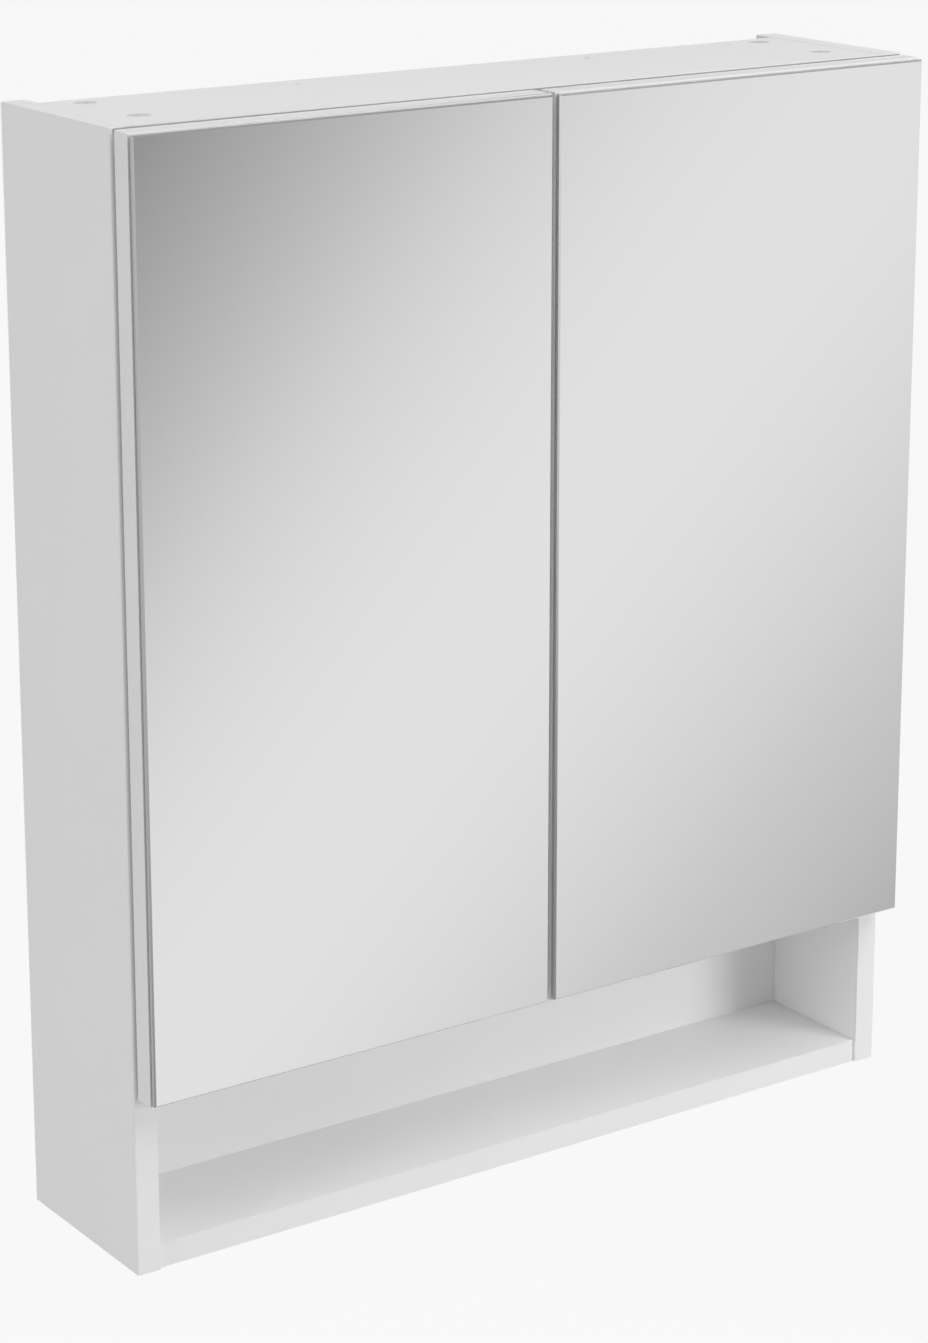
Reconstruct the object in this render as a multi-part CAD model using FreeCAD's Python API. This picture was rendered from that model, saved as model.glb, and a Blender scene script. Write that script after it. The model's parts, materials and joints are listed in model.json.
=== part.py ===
import FreeCAD, Part
import math
import os

Vec = FreeCAD.Vector

# Wall-hung mirror cabinet, in millimetres.
# X runs to the right, Y towards the wall and Z up.
# The wall plane is Y = 0, the middle is X = 0 and the underside is Z = 0.

# Flats that round pieces are drawn with: screws and dowels, discs, hinge cups
SMALL_SIDES = 8
DISC_SIDES = 12
CUP_SIDES = 20

# How close two places are taken to be the same
SAME = 1e-6

# Carcass boards
WIDTH = 600.0
HEIGHT = 716.0
SIDE_DEPTH = 133.0
BOARD = 16.0
EDGE_BAND = 1.0
DECK_WALL_GAP = 17.5
BACK_WALL_GAP = 26.5
BOTTOM_SETBACK = 2.0
NICHE_HEIGHT = 114.0

# Loose glass shelves
SHELF_GLASS = 5.0
SHELF_NAMES = ("lower_shelf", "upper_shelf")
SHELF_END_GAP = 2.0
SHELF_BACK_GAP = 1.5
SHELF_FRONT_SETBACK = 11.0
PIN_RADIUS = 2.5
PIN_DEPTH = 8.0
PIN_HEAD = 9.0
PIN_HEAD_RADIUS = 3.5
PIN_PITCH = 32.0
PIN_BACK_INSET = 16.0

# Fittings that hold the boards together
FIT = 0.05
DRILL_FROM_FRONT = 37.0
CAM_FROM_REAR = 14.5
CAM_FROM_END = 24.0
CAM_RADIUS = 7.5
CAM_DEPTH = 12.5
CAM_RECESS = 0.6
CAM_SLOT = 7.4
CAM_GROOVE = 9.0
CAM_GROOVE_WIDTH = 1.6
CAM_GROOVE_DEPTH = 2.0
BOLT_RADIUS = 2.5
BOLT_THREAD = 11.0
BOLT_HEAD_RADIUS = 3.5
BOLT_HEAD = 5.0
BOLT_BORE_RADIUS = 4.0
DOWEL_RADIUS = 4.0
DOWEL_IN_SIDE = 11.0
DOWEL_IN_BOARD = 19.0
BORE_END_GAP = 0.5
BACK_DOWELS = 2
SCREW_OFFSET = 112.0
SCREW_HEAD_RADIUS = 2.5
SCREW_HEAD = 2.5
SCREW_RADIUS = 1.75
SCREW_LENGTH = 45.0
SCREW_RECESS = 1.0

# Doors
DOOR_GAP = 2.5
DOOR_BOARD = 16.0
DOOR_BAND = 2.0
DOOR_BAND_ROUND = 1.5
DOOR_SIDE_INSET = 1.0
DOOR_TOP_INSET = 1.0
DOOR_MIDDLE_GAP = 3.0
DOOR_OVERHANG = 11.0
MIRROR_GLASS = 3.0
MIRROR_INSET = 1.0
MIRROR_ARRIS = 1.0
TAPE = 1.0
TAPE_WIDTH = 25.0
TAPE_INSET = 24.0
TAPE_COUNT = 3

# Concealed single-pivot hinges
HINGE_FROM_DOOR_END = 90.0
CUP_RADIUS = 17.5
CUP_DEPTH = 12.5
CUP_WALL = 0.9
CUP_FROM_EDGE = 3.0
CUP_RIM = 1.5
FLANGE = 1.2
FLANGE_FROM_EDGE = 4.0
EAR_OFFSET = 9.5
EAR_SPACING = 45.0
EAR_RADIUS = 5.5
EAR_SCREW_RADIUS = 1.75
EAR_SCREW_HEAD_RADIUS = 3.4
EAR_SCREW_HEAD = 1.6
EAR_SCREW_LENGTH = 12.0
PIVOT_FROM_EDGE = 7.2
PIVOT_ABOVE_CUP_END = 4.5
PIVOT_RADIUS = 1.3
PIVOT_RUNNING_GAP = 0.05
EYE_RADIUS = 2.3
HOOK_WIDTH = 8.0
HOOK_THICKNESS = 2.5
HOOK_BEND = 4.0
HOOK_RISE_DEG = 12.0
ARM_WIDTH = 15.0
ARM_TAPER = 9.0
ARM_LENGTH = 56.0
ARM_WALL = 1.5
PLATE = 2.0
PLATE_LENGTH = 30.0
PLATE_WIDTH = 16.0
PLATE_REAR_INSET = 1.0
WING_SPACING = 32.0
WING_RADIUS = 5.5
RAIL = 2.0
RAIL_WIDTH = 11.0
RAIL_GAP = 0.15
PLATE_SCREW_RADIUS = 2.0
PLATE_SCREW_LENGTH = 12.0
PLATE_SCREW_HEAD_RADIUS = 3.7
PLATE_SCREW_HEAD = 2.2
ARM_SCREW_RADIUS = 2.0
ARM_SCREW_HEAD_RADIUS = 3.5
ARM_SCREW_HEAD = 2.0
ARM_SCREW_FROM_REAR = 7.0
ARM_SCREW_SPACING = 19.0

# Magnetic catches and bumpers
CATCH_FROM_MIDDLE = 60.0
CATCH_RADIUS = 4.75
CATCH_LENGTH = 15.0
CATCH_COLLAR_RADIUS = 6.0
MAGNET_RADIUS = 3.5
MAGNET_LENGTH = 6.0
STRIKE = 0.8
STRIKE_RADIUS = 6.0
STRIKE_PIN_RADIUS = 1.5
STRIKE_PIN = 8.0
BUMPER_RADIUS = 4.0
BUMPER_FROM_MIDDLE = 20.0
CLOSED_GAP = 0.3

# Wall hangers
HANGER_WIDTH = 18.0
HANGER_DEPTH = 32.0
HANGER_HEIGHT = 60.0
HANGER_TOP_GAP = 2.0
HANGER_ROUND = 3.0
PEG_RADIUS = 5.0
PEG_DEPTH = 10.0
PEG_SPACING = 32.0
HOOK_STRIP = 2.5
HOOK_STRIP_WIDTH = 10.0
HOOK_STRIP_ROUND = 2.2
HOOK_NOTCH = 0.5
HOOK_NOTCH_GAP = 2.0
HOOK_WALL_GAP = 6.0
HOOK_LIP = 14.0
HOOK_SLOT_GAP = 1.5
HOOK_DROP = 18.0
ADJUSTER_RADIUS = 4.0
ADJUSTER_HEAD = 1.2
ADJUSTER_SHANK_RADIUS = 2.5
ADJUSTER_SHANK = 10.0
ADJUSTER_SPACING = 24.0

# Places that follow from the sizes
HALF = WIDTH / 2
INNER = HALF - BOARD
FRONT = -SIDE_DEPTH
BOARD_FRONT = FRONT + EDGE_BAND
DECK_REAR = -DECK_WALL_GAP
BACK_REAR = -BACK_WALL_GAP
BACK_FRONT = BACK_REAR - BOARD
BACK_MIDDLE = BACK_REAR - BOARD / 2
NICHE_CEILING = BOARD + NICHE_HEIGHT
NICHE_TOP = NICHE_CEILING + BOARD
TOP_UNDER = HEIGHT - BOARD

CAM_FRONT = FRONT + DRILL_FROM_FRONT
CAM_REAR = DECK_REAR - CAM_FROM_REAR
DOWEL_MIDDLE = (CAM_FRONT + CAM_REAR) / 2

DOOR_REAR = FRONT - DOOR_GAP
DOOR_FRONT = DOOR_REAR - DOOR_BOARD
MIRROR_REAR = DOOR_FRONT - TAPE
MIRROR_FRONT = MIRROR_REAR - MIRROR_GLASS
DOOR_OUTER = HALF - DOOR_SIDE_INSET
DOOR_INNER = DOOR_MIDDLE_GAP / 2
DOOR_BOTTOM = NICHE_CEILING - DOOR_OVERHANG
DOOR_TOP = HEIGHT - DOOR_TOP_INSET

HINGE_HEIGHTS = (DOOR_BOTTOM + HINGE_FROM_DOOR_END, DOOR_TOP - HINGE_FROM_DOOR_END)
PIVOT_X = -DOOR_OUTER + PIVOT_FROM_EDGE
PIVOT_Y = DOOR_REAR - CUP_DEPTH + PIVOT_ABOVE_CUP_END
CUP_X = -DOOR_OUTER + CUP_FROM_EDGE + CUP_RADIUS
EAR_X = CUP_X + EAR_OFFSET
PLATE_TOP = -INNER + PLATE
RAIL_TOP = PLATE_TOP + RAIL
STRIP_LOW = RAIL_TOP + RAIL_GAP
STRIP_HIGH = STRIP_LOW + HOOK_THICKNESS
ARM_REAR = DOOR_REAR + ARM_LENGTH

CATCH_HEIGHT = HEIGHT - BOARD / 2
BUMPER_HEIGHTS = (NICHE_CEILING + BOARD / 2, CATCH_HEIGHT)

HANGER_TOP = TOP_UNDER - HANGER_TOP_GAP
HANGER_MIDDLE = HANGER_TOP - HANGER_HEIGHT / 2
HANGER_FRONT = BACK_FRONT - HANGER_DEPTH
HANGER_X = -INNER + HANGER_WIDTH / 2
HOOK_TOP = HANGER_TOP - HOOK_DROP

COMPARTMENT = (TOP_UNDER - NICHE_TOP) / (len(SHELF_NAMES) + 1)
SHELF_UNDERSIDES = [NICHE_TOP + COMPARTMENT * (step + 1) for step in range(len(SHELF_NAMES))]
SHELF_FRONT = FRONT + SHELF_FRONT_SETBACK
SHELF_REAR = BACK_FRONT - SHELF_BACK_GAP
PIN_ROWS = (CAM_FRONT, SHELF_REAR - PIN_BACK_INSET)

# The boards that lie between the sides: middle height, side on which the cams show, cam places
DECKS = (
    (HEIGHT - BOARD / 2, 1, (CAM_FRONT, CAM_REAR)),
    (BOARD / 2, -1, (CAM_FRONT, CAM_REAR)),
    (NICHE_CEILING + BOARD / 2, -1, (CAM_FRONT,)),
)


def box(x_range, y_range, z_range):
    """A block between two limits along each axis."""
    x, y, z = sorted(x_range), sorted(y_range), sorted(z_range)
    return Part.makeBox(x[1] - x[0], y[1] - y[0], z[1] - z[0], Vec(x[0], y[0], z[0]))


def ring(radius, height, sides):
    """A regular outline around the Z axis."""
    turns = [2 * math.pi * count / sides for count in range(sides)]
    points = [Vec(radius * math.cos(turn), radius * math.sin(turn), height) for turn in turns]
    return Part.makePolygon(points + [points[0]])


def turned(outline, start, direction, sides=SMALL_SIDES):
    """A turned piece: the outline lists (distance along the axis, radius) from one end to the other."""
    steps = [pair for pair in zip(outline, outline[1:]) if pair[1][0] > pair[0][0]]
    stages = [Part.makeLoft([ring(low[1], low[0], sides), ring(high[1], high[0], sides)], True, True)
              for low, high in steps]
    solid = stages[0]
    for stage in stages[1:]:
        solid = solid.fuse(stage)
    solid = solid.removeSplitter().Solids[0]
    solid.Placement = FreeCAD.Placement(start, FreeCAD.Rotation(Vec(0, 0, 1), direction))
    return solid


def rod(radius, start, end, sides=SMALL_SIDES):
    """A straight round bar from one point to another."""
    run = end - start
    return turned(((0, radius), (run.Length, radius)), start, run, sides)


def mirrored(shape):
    """The same piece on the other side of the cabinet's middle."""
    return shape.mirror(Vec(0, 0, 0), Vec(1, 0, 0))


def both_sides(shapes):
    """The pieces of the left side, and their mirror images."""
    return list(shapes) + [mirrored(shape) for shape in shapes]


def raised(shape, height):
    """A copy of a piece made at Z = 0, at its own height."""
    copy = shape.copy()
    copy.translate(Vec(0, 0, height))
    return copy


def save(name, solids):
    """Writes one node; identical pieces share it as separate solids."""
    shape = solids[0] if len(solids) == 1 else Part.makeCompound(solids)
    shape.exportStep(os.path.join("parts", name + ".step"))


# Fittings of the left ends of the boards

def cam_places():
    """Middle height, side and depth of each cam."""
    return [(height, side, y) for height, side, places in DECKS for y in places]


def cam_lock(height, side, y):
    face = height + side * (BOARD / 2 - CAM_RECESS)
    up = Vec(0, 0, side)
    middle = Vec(-INNER + CAM_FROM_END, y, face)
    lock = rod(CAM_RADIUS - FIT, middle - up * (CAM_DEPTH - CAM_RECESS), middle, DISC_SIDES)
    slot = box((middle.x - 2 * CAM_RADIUS, middle.x + CAM_SLOT / 2),
               (y - CAM_SLOT / 2, y + CAM_SLOT / 2),
               (height - CAM_SLOT / 2, height + CAM_SLOT / 2))
    lock = lock.cut(slot)
    groove = box((middle.x - CAM_GROOVE / 2, middle.x + CAM_GROOVE / 2),
                 (y - CAM_GROOVE_WIDTH / 2, y + CAM_GROOVE_WIDTH / 2),
                 (face, face - side * CAM_GROOVE_DEPTH))
    return lock.cut(groove)


def cam_bore(height, side, y):
    up = Vec(0, 0, side)
    mouth = Vec(-INNER + CAM_FROM_END, y, height) + up * (BOARD / 2)
    return rod(CAM_RADIUS, mouth - up * CAM_DEPTH, mouth, DISC_SIDES)


def cam_bolt(height, y):
    end = CAM_FROM_END + BOLT_HEAD / 2
    outline = ((-BOLT_THREAD, BOLT_RADIUS), (end - BOLT_HEAD, BOLT_RADIUS),
               (end - BOLT_HEAD, BOLT_HEAD_RADIUS), (end, BOLT_HEAD_RADIUS))
    return turned(outline, Vec(-INNER, y, height), Vec(1, 0, 0))


def bolt_bore(height, y):
    mouth = Vec(-INNER, y, height)
    return rod(BOLT_RADIUS + FIT, mouth - Vec(BOLT_THREAD + BORE_END_GAP, 0, 0), mouth)


def dowel_places():
    """Depth and height of each dowel in the left side."""
    decks = [(DOWEL_MIDDLE, height) for height, side, places in DECKS]
    step = (TOP_UNDER - BOARD) / BACK_DOWELS
    back = [(BACK_MIDDLE, BOARD + step * (count + 0.5)) for count in range(BACK_DOWELS)]
    return decks + back


def dowel(y, height):
    return rod(DOWEL_RADIUS, Vec(-INNER - DOWEL_IN_SIDE, y, height), Vec(-INNER + DOWEL_IN_BOARD, y, height))


def dowel_bore(y, height):
    start = Vec(-INNER - DOWEL_IN_SIDE - BORE_END_GAP, y, height)
    end = Vec(-INNER + DOWEL_IN_BOARD + BORE_END_GAP, y, height)
    return rod(DOWEL_RADIUS + FIT, start, end)


def back_screw(side, gap=0.0):
    """A screw through the top or bottom board into the back board; gap widens it into its bore."""
    face = HEIGHT if side > 0 else 0.0
    recess = 0.0 if gap else SCREW_RECESS
    head, shank = SCREW_HEAD_RADIUS + gap, SCREW_RADIUS + gap
    head_end = SCREW_RECESS + SCREW_HEAD
    outline = ((recess, head), (head_end, head), (head_end, shank), (SCREW_RECESS + SCREW_LENGTH, shank))
    return turned(outline, Vec(-SCREW_OFFSET, BACK_MIDDLE, face), Vec(0, 0, -side))


# Loose shelves

def shelf(underside):
    return box((-INNER + SHELF_END_GAP, INNER - SHELF_END_GAP), (SHELF_REAR, SHELF_FRONT),
               (underside, underside + SHELF_GLASS))


def shelf_pin(y, underside):
    outline = ((-PIN_DEPTH, PIN_RADIUS), (0, PIN_RADIUS), (0, PIN_HEAD_RADIUS), (PIN_HEAD, PIN_HEAD_RADIUS))
    return turned(outline, Vec(-INNER, y, underside - PIN_HEAD_RADIUS), Vec(1, 0, 0))


def pin_bores():
    """The drilled rows for the shelf pins: one hole in use with a spare above and below."""
    bores = []
    for underside in SHELF_UNDERSIDES:
        for step in (-1, 0, 1):
            for y in PIN_ROWS:
                mouth = Vec(-INNER, y, underside - PIN_HEAD_RADIUS + step * PIN_PITCH)
                bores.append(rod(PIN_RADIUS + FIT, mouth - Vec(PIN_DEPTH + BORE_END_GAP, 0, 0), mouth))
    return bores


# Wall hangers

def peg_places():
    return [HANGER_MIDDLE + PEG_SPACING * half for half in (-0.5, 0.5)]


def hanger_housing():
    body = box((-INNER, -INNER + HANGER_WIDTH), (HANGER_FRONT, BACK_FRONT),
               (HANGER_TOP - HANGER_HEIGHT, HANGER_TOP))
    front_edges = [edge for edge in body.Edges if is_along(edge, Vec(0, 0, 1)) and is_free_edge(edge)]
    body = body.makeFillet(HANGER_ROUND, front_edges)
    for height in peg_places():
        middle = Vec(-INNER, HANGER_FRONT + HANGER_DEPTH / 2, height)
        body = body.fuse(rod(PEG_RADIUS, middle - Vec(PEG_DEPTH, 0, 0), middle))
    body = body.cut(hook_way())
    for height in adjuster_places():
        body = body.cut(adjuster(height, FIT))
    return body.removeSplitter()


def is_along(edge, direction):
    run = edge.Vertexes[-1].Point - edge.Vertexes[0].Point
    return run.cross(direction).Length < SAME


def is_free_edge(edge):
    """True for the housing's front edge that stands away from the side board."""
    point = edge.Vertexes[0].Point
    return abs(point.y - HANGER_FRONT) < SAME and abs(point.x + INNER - HANGER_WIDTH) < SAME


def peg_bores():
    bores = []
    for height in peg_places():
        mouth = Vec(-INNER, HANGER_FRONT + HANGER_DEPTH / 2, height)
        bores.append(rod(PEG_RADIUS + FIT, mouth - Vec(PEG_DEPTH + BORE_END_GAP, 0, 0), mouth))
    return bores


def hook_limits(gap=0.0):
    """The hook strip's limits along X, the depth of its inner end and its height."""
    half = HOOK_STRIP_WIDTH / 2 + gap
    inner_end = BACK_FRONT - HANGER_DEPTH / 2 - gap
    return (HANGER_X - half, HANGER_X + half), inner_end, (HOOK_TOP - HOOK_STRIP - gap, HOOK_TOP + gap)


def hanger_hook():
    """A bent strip with a lip behind the wall rail and a shallow notch that seats on the rail's edge."""
    x_range, inner_end, z_range = hook_limits()
    strip = box(x_range, (inner_end, -HOOK_WALL_GAP), z_range)
    lip = box(x_range, (-HOOK_WALL_GAP - HOOK_STRIP, -HOOK_WALL_GAP), (HOOK_TOP - HOOK_LIP, HOOK_TOP))
    notch = box(x_range, (BACK_REAR + HOOK_NOTCH_GAP, -HOOK_WALL_GAP - HOOK_STRIP),
                (z_range[0], z_range[0] + HOOK_NOTCH))
    hook = strip.fuse(lip).cut(notch).removeSplitter()
    outer = [edge for edge in hook.Edges if is_along(edge, Vec(1, 0, 0)) and is_hook_corner(edge)]
    return hook.makeFillet(HOOK_STRIP_ROUND, outer)


def is_hook_corner(edge):
    point = edge.Vertexes[0].Point
    return abs(point.y + HOOK_WALL_GAP) < SAME and abs(point.z - HOOK_TOP) < SAME


def hook_way():
    """The room for the hook inside its housing."""
    x_range, inner_end, z_range = hook_limits(FIT)
    return box(x_range, (inner_end, BACK_FRONT), z_range)


def hook_slot():
    """The cut-out in the back board that the hook passes through."""
    x_range, inner_end, z_range = hook_limits(HOOK_SLOT_GAP)
    return box(x_range, (BACK_FRONT, BACK_REAR), z_range)


def adjuster_places():
    return [HANGER_MIDDLE + ADJUSTER_SPACING * half - ADJUSTER_SPACING / 2 for half in (-0.5, 0.5)]


def adjuster(height, gap=0.0):
    """A hanger's adjusting screw; gap widens it into its bore."""
    head = ADJUSTER_RADIUS + gap
    shank = ADJUSTER_SHANK_RADIUS + gap
    end = ADJUSTER_HEAD + ADJUSTER_SHANK
    outline = ((0, head), (ADJUSTER_HEAD, head), (ADJUSTER_HEAD, shank), (end, shank))
    return turned(outline, Vec(HANGER_X, HANGER_FRONT, height), Vec(0, 1, 0))


# Hinges, each made for the left door at Z = 0

def hook_centres():
    """Where the hook's straight leg ends and where its bend is centred."""
    rise = math.radians(HOOK_RISE_DEG)
    strip_middle = (STRIP_LOW + STRIP_HIGH) / 2
    leg = (strip_middle - PIVOT_X - HOOK_BEND * (1 + math.sin(rise))) / math.cos(rise)
    along = Vec(math.cos(rise), -math.sin(rise), 0)
    across = Vec(-math.sin(rise), -math.cos(rise), 0)
    leg_end = Vec(PIVOT_X, PIVOT_Y, 0) + along * leg
    return leg_end, across, leg_end - across * HOOK_BEND


def hinge_hook():
    """The bent strip that reaches from the arm into the cup and round to the pivot."""
    leg_end, across, centre = hook_centres()
    pivot = Vec(PIVOT_X, PIVOT_Y, 0)
    half = HOOK_THICKNESS / 2
    middle_way = across + Vec(1, 0, 0)
    middle_way.normalize()
    far, near = HOOK_BEND + half, HOOK_BEND - half
    outer = [centre + way * far for way in (across, middle_way, Vec(1, 0, 0))]
    inner = [centre + way * near for way in (Vec(1, 0, 0), middle_way, across)]
    outer_end = Vec(outer[2].x, DOOR_REAR, 0)
    inner_end = Vec(inner[0].x, DOOR_REAR, 0)
    edges = [
        Part.LineSegment(pivot + across * half, outer[0]),
        Part.Arc(*outer),
        Part.LineSegment(outer[2], outer_end),
        Part.LineSegment(outer_end, inner_end),
        Part.LineSegment(inner_end, inner[0]),
        Part.Arc(*inner),
        Part.LineSegment(inner[2], pivot - across * half),
        Part.LineSegment(pivot - across * half, pivot + across * half),
    ]
    profile = Part.Face(Part.Wire([edge.toShape() for edge in edges]))
    strip = profile.extrude(Vec(0, 0, HOOK_WIDTH))
    strip.translate(Vec(0, 0, -HOOK_WIDTH / 2))
    eye = rod(EYE_RADIUS, pivot - Vec(0, 0, HOOK_WIDTH / 2), pivot + Vec(0, 0, HOOK_WIDTH / 2), DISC_SIDES)
    return strip.fuse(eye)


def hinge_arm():
    """The steel arm: hook, tapered web and two flanges that straddle the mounting plate's rail."""
    narrow, wide = HOOK_WIDTH / 2, ARM_WIDTH / 2
    taper_end = DOOR_REAR + ARM_TAPER
    corners = [(DOOR_REAR, -narrow), (taper_end, -wide), (ARM_REAR, -wide),
               (ARM_REAR, wide), (taper_end, wide), (DOOR_REAR, narrow)]
    points = [Vec(STRIP_LOW, y, z) for y, z in corners]
    web = Part.Face(Part.makePolygon(points + [points[0]])).extrude(Vec(HOOK_THICKNESS, 0, 0))
    arm = hinge_hook().fuse(web)
    for z_range in ((-wide, -wide + ARM_WALL), (wide - ARM_WALL, wide)):
        arm = arm.fuse(box((PLATE_TOP + RAIL_GAP, STRIP_LOW), (taper_end, ARM_REAR), z_range))
    reach = Vec(0, 0, HOOK_WIDTH)
    pivot = Vec(PIVOT_X, PIVOT_Y, 0)
    bore_radius = (PIVOT_RADIUS + PIVOT_RUNNING_GAP) / math.cos(math.pi / DISC_SIDES)
    arm = arm.cut(rod(bore_radius, pivot - reach, pivot + reach, DISC_SIDES))
    for y in arm_screw_places():
        arm = arm.cut(arm_screw(y, FIT))
    return arm.removeSplitter()


def arm_screw_places():
    last = ARM_REAR - ARM_SCREW_FROM_REAR
    return (last - ARM_SCREW_SPACING, last)


def arm_screw(y, gap=0.0):
    """A screw through the arm into the rail; gap widens its shank into its bore."""
    length = STRIP_HIGH - PLATE_TOP
    outline = ((-ARM_SCREW_HEAD, ARM_SCREW_HEAD_RADIUS), (0, ARM_SCREW_HEAD_RADIUS),
               (0, ARM_SCREW_RADIUS + gap), (length, ARM_SCREW_RADIUS + gap))
    return turned(outline, Vec(STRIP_HIGH, y, 0), Vec(-1, 0, 0))


def mounting_plate():
    """A cross-shaped plate on the side board, with a rail along its middle."""
    rear = ARM_REAR - PLATE_REAR_INSET
    span = (rear - PLATE_LENGTH, rear)
    plate = box((-INNER, PLATE_TOP), span, (-PLATE_WIDTH / 2, PLATE_WIDTH / 2))
    rail = box((PLATE_TOP, RAIL_TOP), span, (-RAIL_WIDTH / 2, RAIL_WIDTH / 2))
    wing = box((-INNER, PLATE_TOP), (CAM_FRONT - WING_RADIUS, CAM_FRONT + WING_RADIUS),
               (-WING_SPACING / 2, WING_SPACING / 2))
    plate = plate.fuse(rail).fuse(wing)
    wing_ends = (-WING_SPACING / 2, WING_SPACING / 2)
    for height in wing_ends:
        wing_end = Vec(-INNER, CAM_FRONT, height)
        plate = plate.fuse(rod(WING_RADIUS, wing_end, wing_end + Vec(PLATE, 0, 0)))
    for height in wing_ends:
        plate = plate.cut(raised(plate_screw(FIT), height))
    for y in arm_screw_places():
        plate = plate.cut(arm_screw(y, FIT))
    return plate.removeSplitter()


def plate_screw(gap=0.0):
    """A screw through a wing into the side board; gap widens its shank into its bore."""
    outline = ((-PLATE_SCREW_HEAD, PLATE_SCREW_HEAD_RADIUS), (0, PLATE_SCREW_HEAD_RADIUS),
               (0, PLATE_SCREW_RADIUS + gap), (PLATE_SCREW_LENGTH, PLATE_SCREW_RADIUS + gap))
    return turned(outline, Vec(PLATE_TOP, CAM_FRONT, 0), Vec(-1, 0, 0))


def plate_screw_heights():
    return [height + WING_SPACING * half for height in HINGE_HEIGHTS for half in (-0.5, 0.5)]


def hinge_cup():
    """The cup in the door, its flange with two screw ears, and the pivot's holes."""
    centre = Vec(CUP_X, DOOR_REAR, 0)
    into = Vec(0, -1, 0)
    flange = rod(CUP_RADIUS + CUP_RIM, centre - into * FLANGE, centre, CUP_SIDES)
    for height in ear_heights():
        ear = Vec(EAR_X, DOOR_REAR, height)
        flange = flange.fuse(rod(EAR_RADIUS, ear - into * FLANGE, ear, DISC_SIDES))
    bridge = box((EAR_X - EAR_RADIUS, EAR_X + EAR_RADIUS), (DOOR_REAR, DOOR_REAR + FLANGE), ear_heights())
    flange = flange.fuse(bridge)
    trim = -DOOR_OUTER + FLANGE_FROM_EDGE
    over_edge = box((trim - CUP_RADIUS, trim), (DOOR_REAR, DOOR_REAR + FLANGE), (-CUP_RADIUS, CUP_RADIUS))
    flange = flange.cut(over_edge)
    cup = rod(CUP_RADIUS, centre, centre + into * CUP_DEPTH, CUP_SIDES).fuse(flange)
    room_end = centre + into * (CUP_DEPTH - CUP_WALL)
    cup = cup.cut(rod(CUP_RADIUS - CUP_WALL, centre - into * FLANGE, room_end, CUP_SIDES))
    pivot = Vec(PIVOT_X, PIVOT_Y, 0)
    reach = Vec(0, 0, CUP_RADIUS)
    cup = cup.cut(rod(PIVOT_RADIUS + FIT, pivot - reach, pivot + reach, DISC_SIDES))
    for height in ear_heights():
        cup = cup.cut(raised(cup_screw(FIT), height))
    return cup.removeSplitter()


def ear_heights():
    return (-EAR_SPACING / 2, EAR_SPACING / 2)


def cup_screw(gap=0.0):
    """A countersunk screw through an ear into the door; gap widens it into its bore."""
    head, shank = EAR_SCREW_HEAD_RADIUS + gap, EAR_SCREW_RADIUS + gap
    outline = ((0, head), (EAR_SCREW_HEAD, shank), (EAR_SCREW_LENGTH, shank))
    return turned(outline, Vec(EAR_X, DOOR_REAR + FLANGE, 0), Vec(0, -1, 0))


def hinge_pin():
    """The pivot pin: its ends are riveted flush in the cup's wall."""
    centre = Vec(CUP_X, DOOR_REAR, 0)
    reach = Vec(0, 0, CUP_RADIUS)
    pivot = Vec(PIVOT_X, PIVOT_Y, 0)
    pin = rod(PIVOT_RADIUS, pivot - reach, pivot + reach, DISC_SIDES)
    return pin.common(rod(CUP_RADIUS, centre, centre - Vec(0, CUP_DEPTH, 0), CUP_SIDES))


# Magnetic catches, strike plates and bumpers of the left door

def catch_sleeve():
    collar = DOOR_GAP - STRIKE - CLOSED_GAP
    outline = ((-CATCH_LENGTH, CATCH_RADIUS), (0, CATCH_RADIUS), (0, CATCH_COLLAR_RADIUS),
               (collar, CATCH_COLLAR_RADIUS))
    sleeve = turned(outline, Vec(-CATCH_FROM_MIDDLE, FRONT, CATCH_HEIGHT), Vec(0, -1, 0), DISC_SIDES)
    return sleeve.cut(catch_magnet())


def catch_magnet():
    collar = DOOR_GAP - STRIKE - CLOSED_GAP
    face = Vec(-CATCH_FROM_MIDDLE, FRONT - collar, CATCH_HEIGHT)
    return rod(MAGNET_RADIUS, face + Vec(0, MAGNET_LENGTH, 0), face, DISC_SIDES)


def catch_bore():
    mouth = Vec(-CATCH_FROM_MIDDLE, FRONT, CATCH_HEIGHT)
    return rod(CATCH_RADIUS + FIT, mouth + Vec(0, CATCH_LENGTH + BORE_END_GAP, 0), mouth, DISC_SIDES)


def strike_plate(gap=0.0):
    """A steel disc with a pin that is driven into the door; gap widens the pin into its bore."""
    outline = ((-STRIKE, STRIKE_RADIUS), (0, STRIKE_RADIUS), (0, STRIKE_PIN_RADIUS + gap),
               (STRIKE_PIN, STRIKE_PIN_RADIUS + gap))
    return turned(outline, Vec(-CATCH_FROM_MIDDLE, DOOR_REAR, CATCH_HEIGHT), Vec(0, -1, 0), DISC_SIDES)


def bumper(height):
    """A soft pad on the door's back that meets the carcass front."""
    thickness = DOOR_GAP - CLOSED_GAP
    outline = ((0, BUMPER_RADIUS), (thickness / 2, BUMPER_RADIUS), (thickness, BUMPER_RADIUS / 2))
    return turned(outline, Vec(-BUMPER_FROM_MIDDLE, DOOR_REAR, height), Vec(0, 1, 0), DISC_SIDES)


# Boards

def side_panel():
    """The left side board with every hole that is drilled into its inner face."""
    panel = box((-HALF, -INNER), (0, BOARD_FRONT), (0, HEIGHT))
    bores = [bolt_bore(height, y) for height, side, y in cam_places()]
    bores += [dowel_bore(y, height) for y, height in dowel_places()]
    bores += pin_bores()
    bores += [raised(plate_screw(FIT), height) for height in plate_screw_heights()]
    bores += peg_bores()
    return panel.cut(bores)


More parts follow.
